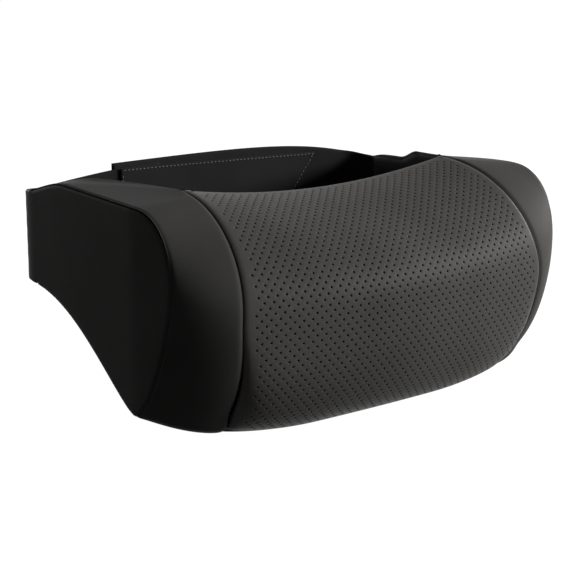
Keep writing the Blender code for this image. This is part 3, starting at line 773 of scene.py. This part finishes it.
def lining(side):
    sign = SIGN[side]
    shares = np.linspace(0, 1, 101)
    arm = bolster_points(side, shares, np.array([0.0, float(LAST)]))
    wing_gap = wing_x(arm[:, 0, 1]) - abs(arm[:, 0, 0])
    keep = wing_gap > STRAP_THICKNESS
    top_arm, bottom_arm = arm[keep, 0], arm[keep, 1]
    plan, heights = rear_plan(side, STRAP_THICKNESS)
    later = (plan[:, 1] > top_arm[-1, 1] + 0.001) | (np.arange(len(plan)) > WING_POINTS)
    top = np.concatenate([top_arm, np.column_stack([plan[later], heights[later, 0]])])
    bottom = np.concatenate([bottom_arm, np.column_stack([plan[later], heights[later, 1]])])
    join = lengths(top[:, :2])[len(top_arm) - 1]
    both = smooth_line(np.concatenate([top, bottom], axis=1), BAND_SOFTNESS)
    top, bottom = both[:, :3], both[:, 3:]
    wall = Wall(top, bottom, -sign)
    line_top = np.column_stack([wall.along, top[:, 2]])
    line_bottom = np.column_stack([wall.along, bottom[:, 2]])

    def profile(points, arm_profile):
        share = np.clip((join - points[:, 0]) / JOIN_LENGTH + 0.5, 0, 1)[:, None]
        return np.array(FOLD) * (1 - share) + np.array(arm_profile) * share

    even_top, even_bottom = resample(line_top)[::-1], resample(line_bottom)
    parts = [
        (even_top, profile(even_top, RIM)),
        (resample([line_top[0], line_bottom[0]]), FLAT),
        (even_bottom, profile(even_bottom, EDGE)),
        (resample([line_bottom[-1], line_top[-1]]), FOLD),
    ]
    return sheet(f"{side}_lining", parts, wall.place, flip=side == "right")


def back_cover():
    us = np.linspace(-1, 1, 81)
    top = np.array([(u * RIM_HALF, BACK_Y, CUSHION_HEIGHT - RIM_DIP * (1 - u * u)) for u in us])
    bottom = np.array([(u * BASE_HALF, BACK_Y, base_lift(u)) for u in us])
    wall = Wall(top, bottom, -1)
    zip_top = bottom[:, 2] + SKIN + ZIP_TAPE_HEIGHT
    line_top = np.column_stack([wall.along, top[:, 2]])
    line_bottom = np.column_stack([wall.along, zip_top])
    parts = [
        (resample(line_top[::-1]), RIM),
        (resample([line_top[0], line_bottom[0]]), FLAT),
        (resample(line_bottom), ZIP_EDGE),
        (resample([line_bottom[-1], line_top[-1]]), FLAT),
    ]
    return sheet("back_cover", parts, wall.place, flip=True)


def centre_cover(name, front, rows, top_edge, bottom_edge, **kinds):
    """The part of the centre between its first and last row, with the kinds of its top and bottom edges."""
    upper, lower = ([front.edge(u, v) for u in np.linspace(-1, 1, 61)] for v in (rows[0], rows[-1]))
    seam = np.array([front.edge(1.0, v) for v in rows])
    parts = [
        (resample(upper), top_edge),
        (resample(seam), SEAM),
        (resample(lower[::-1]), bottom_edge),
        (resample(seam[::-1] * [-1, 1]), SEAM),
    ]
    return sheet(name, parts, front.place, **kinds)


def tab_top(x):
    return strap_top("right", x) - TAB_DROP


def tab_corners(start, end, low_end, margin=0.0):
    """Corners of a layer that is sloped as the tab is, its long edges that far inside the tab's."""
    return [
        (start, tab_top(start) - margin),
        (start, tab_top(start) - TAB_HEIGHT + margin),
        (low_end, tab_top(low_end) - TAB_HEIGHT + margin),
        (end, tab_top(end) - margin),
    ]


def layer_piece(name, corners, near, far, edge_radius):
    """A flat layer of the band with folded edges, between two depths inside the band's outside."""
    halves = []
    fold = (edge_radius, (far - near) / 2, 0.0, 0.0, 0.0)
    path = np.concatenate([resample(pair)[:-1] for pair in zip(corners, corners[1:] + corners[:1])])
    rounded = smooth_line(np.concatenate([path, path[:1]]), FOLD_SOFTNESS)
    for level, outward in ((near, -1), (far, 1)):
        wall = band_wall(level, outward)
        flat = np.column_stack([np.interp(rounded[:, 0], BAND_XS, wall.along), rounded[:, 1]])
        halves.append(sheet(name, [(flat, fold)], wall.place, flip=outward < 0))
    keep, other = halves
    bm = bmesh.new()
    bm.from_mesh(keep.data)
    bm.from_mesh(other.data)
    bmesh.ops.remove_doubles(bm, verts=bm.verts, dist=2e-5)
    bmesh.ops.recalc_face_normals(bm, faces=bm.faces)
    bm.to_mesh(keep.data)
    bm.free()
    bpy.data.objects.remove(other)
    keep.data.shade_smooth()
    return keep


def stitches(name, line, place):
    """Threads along a flat line, each a short rounded dash that dips into the leather at both ends."""
    along = lengths(line)
    rings, sides = 5, 6
    t = np.linspace(-1, 1, rings)
    depth = -THREAD_LIFT * (1 - t ** 2) + THREAD_RADIUS * 0.9 * t ** 4
    size = THREAD_RADIUS * np.sqrt(np.maximum(0.05, 1 - 0.9 * t ** 4))
    verts, faces = [], []
    for m in np.arange(STITCH_PITCH / 2, along[-1] - STITCH_PITCH / 2, STITCH_PITCH):
        spots = at(m + t * STITCH_LENGTH / 2, along, line)
        path = place(spots, depth)
        ahead = norm(np.gradient(path, axis=0))
        up = norm(place(spots, depth - 0.001) - path)
        beside = norm(np.cross(ahead, up))
        start = len(verts)
        for r in range(rings):
            for k in range(sides):
                a = 2 * math.pi * k / sides
                verts.append(path[r] + size[r] * (math.cos(a) * beside[r] + math.sin(a) * up[r]))
        faces += [
            (start + r * sides + k, start + r * sides + (k + 1) % sides,
             start + (r + 1) * sides + (k + 1) % sides, start + (r + 1) * sides + k)
            for r in range(rings - 1) for k in range(sides)
        ]
        faces.append(tuple(start + k for k in range(sides))[::-1])
        faces.append(tuple(start + (rings - 1) * sides + k for k in range(sides)))
    return mesh_piece(name, verts, faces, sharp=0)


# Materials

def nodes_of(material):
    material.use_nodes = True
    nodes = material.node_tree.nodes
    return nodes, material.node_tree.links, nodes["Principled BSDF"]


def add_noise(nodes, links, place, scale, detail=2):
    noise = nodes.new("ShaderNodeTexNoise")
    noise.inputs["Scale"].default_value = scale
    noise.inputs["Detail"].default_value = detail
    links.new(place, noise.inputs["Vector"])
    return noise


def leather(name, colour, roughness, gloss, grain):
    """Pores, soft creases, colour that varies a little and paler edges."""
    material = bpy.data.materials.new(name)
    nodes, links, shader = nodes_of(material)
    place = nodes.new("ShaderNodeTexCoord").outputs["Object"]
    cloud = add_noise(nodes, links, place, 14, 4)
    warp = add_noise(nodes, links, place, 600)
    soft = add_noise(nodes, links, place, 60, 3)
    cells = nodes.new("ShaderNodeTexVoronoi")
    cells.feature = "DISTANCE_TO_EDGE"
    cells.inputs["Scale"].default_value = 950
    bend = nodes.new("ShaderNodeVectorMath")
    bend.operation = "MULTIPLY_ADD"
    bend.inputs[1].default_value = (0.0009, 0.0009, 0.0009)
    links.new(warp.outputs["Color"], bend.inputs[0])
    links.new(place, bend.inputs[2])
    links.new(bend.outputs["Vector"], cells.inputs["Vector"])
    pore = nodes.new("ShaderNodeMapRange")
    pore.inputs["From Max"].default_value = 0.22
    links.new(cells.outputs["Distance"], pore.inputs["Value"])
    fine = nodes.new("ShaderNodeBump")
    fine.inputs["Strength"].default_value = 0.16 * grain
    fine.inputs["Distance"].default_value = 0.00012
    links.new(pore.outputs["Result"], fine.inputs["Height"])
    broad = nodes.new("ShaderNodeBump")
    broad.inputs["Strength"].default_value = 0.10
    broad.inputs["Distance"].default_value = 0.0012
    links.new(soft.outputs["Fac"], broad.inputs["Height"])
    links.new(fine.outputs["Normal"], broad.inputs["Normal"])
    links.new(broad.outputs["Normal"], shader.inputs["Normal"])
    ramp = nodes.new("ShaderNodeValToRGB")
    low, high = ramp.color_ramp.elements
    low.position, high.position = 0.3, 0.7
    low.color = (*(c * (1 - COLOUR_SPREAD) for c in colour), 1)
    high.color = (*(c * (1 + COLOUR_SPREAD) for c in colour), 1)
    links.new(cloud.outputs["Fac"], ramp.inputs["Fac"])
    worn = nodes.new("ShaderNodeNewGeometry").outputs["Pointiness"]
    edge = nodes.new("ShaderNodeMapRange")
    edge.inputs["From Min"].default_value = 0.53
    edge.inputs["From Max"].default_value = 0.62
    edge.inputs["To Max"].default_value = 0.35
    links.new(worn, edge.inputs["Value"])
    mix = nodes.new("ShaderNodeMix")
    mix.data_type = "RGBA"
    links.new(edge.outputs["Result"], mix.inputs["Factor"])
    links.new(ramp.outputs["Color"], mix.inputs["A"])
    mix.inputs["B"].default_value = (*(c * 2.2 for c in colour), 1)
    links.new(mix.outputs["Result"], shader.inputs["Base Color"])
    rough = nodes.new("ShaderNodeMapRange")
    rough.inputs["From Min"].default_value = 0.3
    rough.inputs["From Max"].default_value = 0.7
    rough.inputs["To Min"].default_value = roughness - ROUGHNESS_SPREAD
    rough.inputs["To Max"].default_value = roughness + ROUGHNESS_SPREAD
    links.new(cloud.outputs["Fac"], rough.inputs["Value"])
    links.new(rough.outputs["Result"], shader.inputs["Roughness"])
    shader.inputs["Specular IOR Level"].default_value = gloss
    return material


def woven(name, colour, scale, strength, roughness=0.9):
    material = bpy.data.materials.new(name)
    nodes, links, shader = nodes_of(material)
    noise = add_noise(nodes, links, nodes.new("ShaderNodeTexCoord").outputs["Object"], scale, 3)
    bump = nodes.new("ShaderNodeBump")
    bump.inputs["Strength"].default_value = strength
    bump.inputs["Distance"].default_value = 0.0005
    links.new(noise.outputs["Fac"], bump.inputs["Height"])
    links.new(bump.outputs["Normal"], shader.inputs["Normal"])
    ramp = nodes.new("ShaderNodeValToRGB")
    low, high = ramp.color_ramp.elements
    low.position, high.position = 0.35, 0.65
    low.color = (*(c * 0.6 for c in colour), 1)
    high.color = (*(c * 1.3 for c in colour), 1)
    links.new(noise.outputs["Fac"], ramp.inputs["Fac"])
    links.new(ramp.outputs["Color"], shader.inputs["Base Color"])
    shader.inputs["Roughness"].default_value = roughness
    shader.inputs["Sheen Weight"].default_value = 0.15
    return material


def metal(name, colour, roughness):
    material = bpy.data.materials.new(name)
    nodes, links, shader = nodes_of(material)
    noise = add_noise(nodes, links, nodes.new("ShaderNodeTexCoord").outputs["Object"], 700)
    rough = nodes.new("ShaderNodeMapRange")
    rough.inputs["To Min"].default_value = roughness - METAL_SPREAD
    rough.inputs["To Max"].default_value = roughness + METAL_SPREAD
    links.new(noise.outputs["Fac"], rough.inputs["Value"])
    links.new(rough.outputs["Result"], shader.inputs["Roughness"])
    shader.inputs["Base Color"].default_value = (*colour, 1)
    shader.inputs["Metallic"].default_value = 1.0
    return material


def dress(piece, material, slot, *nodes, pad=None):
    piece.data.materials.clear()
    piece.data.materials.append(material)
    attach(piece, "root")
    if nodes:
        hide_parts(*nodes)


perforated = leather("perforated_leather", (0.068, 0.065, 0.062), 0.38, 0.022, grain=0.8)
smooth = leather("smooth_leather", (0.055, 0.0535, 0.052), 0.40, 0.004, grain=0.7)
# The lining is black leather. Its colour is set darker than the outer leather as painted shade, standing in for
# the shade inside the band, on the back and on the tab.
shade_dark_lining = leather("lining_leather", (0.020, 0.0195, 0.0195), 0.50, 0.006, grain=1.0)
foam = woven("open_cell_foam", (0.55, 0.53, 0.45), 900, 0.6)
fuzz = woven("hook_and_loop", (0.012, 0.012, 0.012), 1600, 0.9)
tape = woven("zip_tape_cloth", (0.015, 0.015, 0.015), 1200, 0.5)
zip_metal = metal("zip_metal", (0.06, 0.06, 0.06), 0.35)
thread = woven("thread", (0.07, 0.068, 0.066), 2500, 0.4, 0.7)

front = Front()
dress(
    centre_cover("front_cover", front, np.linspace(0, BASE_SEAM, 160), RIM, SEAM, holes=True, sharp=0),
    perforated, "perforated_leather", "centre_panel", pad=0.9,
)
dress(
    centre_cover("base_cover", front, np.linspace(BASE_SEAM, CORNER, 40), SEAM, EDGE),
    smooth, "smooth_leather", "base_panel",
)
for side_name in SIGN:
    dress(bolster(side_name), smooth, "smooth_leather", f"{side_name}_bolster_panel", pad=0.9)
    dress(wing(side_name), smooth, "smooth_leather", f"{side_name}_wing_panel")
    dress(lining(side_name), shade_dark_lining, "lining_leather", f"{side_name}_wing_lining")
dress(back_cover(), shade_dark_lining, "lining_leather", "back_panel")

# The tab and the patches, by their faces' depths inside the band's outside
loop_near = STRAP_THICKNESS + GAP
tab_near = 2 * loop_near
tab_far = tab_near + TAB_THICKNESS
hook_near = tab_near - GAP - HOOK_THICKNESS
tab_outline = tab_corners(TAB_START_X, TAB_END_X, TAB_END_X - TAB_SLANT * TAB_HEIGHT)
patch_outline = tab_corners(PATCH_START_X, PATCH_END_X, PATCH_END_X, PATCH_MARGIN)
# The tab takes the lining leather, whose extra darkness is painted shade.
dress(
    layer_piece("tab", tab_outline, tab_near, tab_far, TAB_FOLD),
    shade_dark_lining, "smooth_leather", "closure_tab",
)
dress(
    layer_piece("loop_side", patch_outline, loop_near, hook_near - GAP, PATCH_FOLD),
    fuzz, "hook_and_loop", "loop_patch",
)
dress(
    layer_piece("hook_side", patch_outline, hook_near, tab_near - GAP, PATCH_FOLD),
    fuzz, "hook_and_loop", "hook_patch",
)

# Stitched border of the tab, each of its corners moved inwards by shares of the inset
tab_wall = band_wall(tab_far, 1)
border = [
    (np.interp(x + across * STITCH_INSET, BAND_XS, tab_wall.along), z + up * STITCH_INSET)
    for (x, z), across, up in zip(tab_outline, (1, 1, -0.9, -1.6), (-1, 1, 1, -1))
]
border = border[:1] + border[::-1]
border = np.concatenate([resample(pair, BORDER_STEP)[:-1] for pair in zip(border, border[1:])])
dress(stitches("tab_stitching", border, tab_wall.place), thread, "smooth_leather")

# The foam under the cover, a little inside the leather's folds
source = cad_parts["foam_core"]
block = bpy.data.objects.new("foam_block", source.data.copy())
bpy.context.scene.collection.objects.link(block)
block.matrix_world = source.matrix_world
bm = bmesh.new()
bm.from_mesh(block.data)
bmesh.ops.smooth_vert(bm, verts=bm.verts, factor=0.5, use_axis_x=True, use_axis_y=True, use_axis_z=True)
bm.normal_update()
for vert in bm.verts:
    vert.co -= vert.normal * FOAM_INSET
bm.to_mesh(block.data)
bm.free()
dress(block, foam, "foam", "foam_core", pad=1.0)

for node_name, material in (("zip_tape", tape), ("zip_slider", zip_metal), ("zip_pull", zip_metal)):
    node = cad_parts[node_name]
    for material_slot in node.material_slots:
        material_slot.material = material

# Camera at the photograph's place
EYE = Vector((-0.6016, -0.7644, 0.30465))
TURN, RISE = math.radians(-38), math.radians(13.99)
back = Vector((math.sin(TURN) * math.cos(RISE), -math.cos(TURN) * math.cos(RISE), math.sin(RISE)))
right = Vector((math.cos(TURN), math.sin(TURN), 0))
up = back.cross(right)
camera_data = bpy.data.cameras.new("camera")
camera_data.sensor_width = 36
camera_data.lens = 100
camera = bpy.data.objects.new("camera", camera_data)
camera.matrix_world = Matrix.Translation(EYE) @ Matrix((right, up, back)).transposed().to_4x4()
bpy.context.scene.collection.objects.link(camera)
bpy.context.scene.camera = camera


def lamp(name, place, target, width, height, power):
    data = bpy.data.lights.new(name, "AREA")
    data.shape = "RECTANGLE"
    data.size = width
    data.size_y = height
    data.energy = power
    item = bpy.data.objects.new(name, data)
    item.location = place
    item.rotation_euler = (Vector(target) - Vector(place)).to_track_quat("-Z", "Y").to_euler()
    bpy.context.scene.collection.objects.link(item)


lamp("key", (0.95, -0.80, 0.52), (0.02, -0.03, 0.07), 1.0, 0.30, 22)
lamp("side", (1.15, 0.02, 0.34), (0.10, -0.03, 0.08), 0.5, 0.34, 9)
lamp("rear", (-0.15, 1.25, 0.20), (0.0, 0.10, 0.08), 0.8, 0.3, 6)


def see_white(tree, shader, background):
    """The camera and reflections see the background shader, everything else the plain one."""
    nodes, links = tree.nodes, tree.links
    path = nodes.new("ShaderNodeLightPath")
    either = nodes.new("ShaderNodeMath")
    either.operation = "MAXIMUM"
    links.new(path.outputs["Is Camera Ray"], either.inputs[0])
    links.new(path.outputs["Is Glossy Ray"], either.inputs[1])
    any_of = nodes.new("ShaderNodeMath")
    any_of.operation = "MAXIMUM"
    links.new(either.outputs[0], any_of.inputs[0])
    links.new(path.outputs["Is Transmission Ray"], any_of.inputs[1])
    mix = nodes.new("ShaderNodeMixShader")
    links.new(any_of.outputs[0], mix.inputs["Fac"])
    links.new(shader.outputs[0], mix.inputs[1])
    links.new(background.outputs[0], mix.inputs[2])
    return mix


world = bpy.data.worlds.new("studio")
bpy.context.scene.world = world
world.use_nodes = True
world_nodes = world.node_tree.nodes
plain = world_nodes["Background"]
plain.inputs["Color"].default_value = (1, 1, 1, 1)
plain.inputs["Strength"].default_value = 0.06
white = world_nodes.new("ShaderNodeBackground")
white.inputs["Color"].default_value = (1, 1, 1, 1)
white.inputs["Strength"].default_value = 1.0
world_mix = see_white(world.node_tree, plain, white)
world.node_tree.links.new(world_mix.outputs[0], world_nodes["World Output"].inputs["Surface"])

floor_mesh = bpy.data.meshes.new("floor")
floor_mesh.from_pydata([(-3, -3, 0), (3, -3, 0), (3, 3, 0), (-3, 3, 0)], [], [(0, 1, 2, 3)])
floor = bpy.data.objects.new("floor", floor_mesh)
floor.location.z = -0.0002
bpy.context.scene.collection.objects.link(floor)
floor_material = bpy.data.materials.new("floor")
floor_nodes, floor_links, floor_shader = nodes_of(floor_material)
floor_shader.inputs["Base Color"].default_value = (0.15, 0.15, 0.15, 1)
floor_shader.inputs["Roughness"].default_value = 0.9
floor_shader.inputs["Specular IOR Level"].default_value = 0.0
pale = floor_nodes.new("ShaderNodeBsdfDiffuse")
pale.inputs["Color"].default_value = (0.8, 0.8, 0.8, 1)
glow = floor_nodes.new("ShaderNodeEmission")
glow.inputs["Strength"].default_value = 1.14
part_glow = floor_nodes.new("ShaderNodeMixShader")
part_glow.inputs["Fac"].default_value = 0.88
floor_links.new(pale.outputs[0], part_glow.inputs[1])
floor_links.new(glow.outputs[0], part_glow.inputs[2])
floor_mix = see_white(floor_material.node_tree, floor_shader, part_glow)
floor_links.new(floor_mix.outputs[0], floor_nodes["Material Output"].inputs["Surface"])
floor_mesh.materials.append(floor_material)

bpy.context.scene.view_settings.view_transform = "Standard"
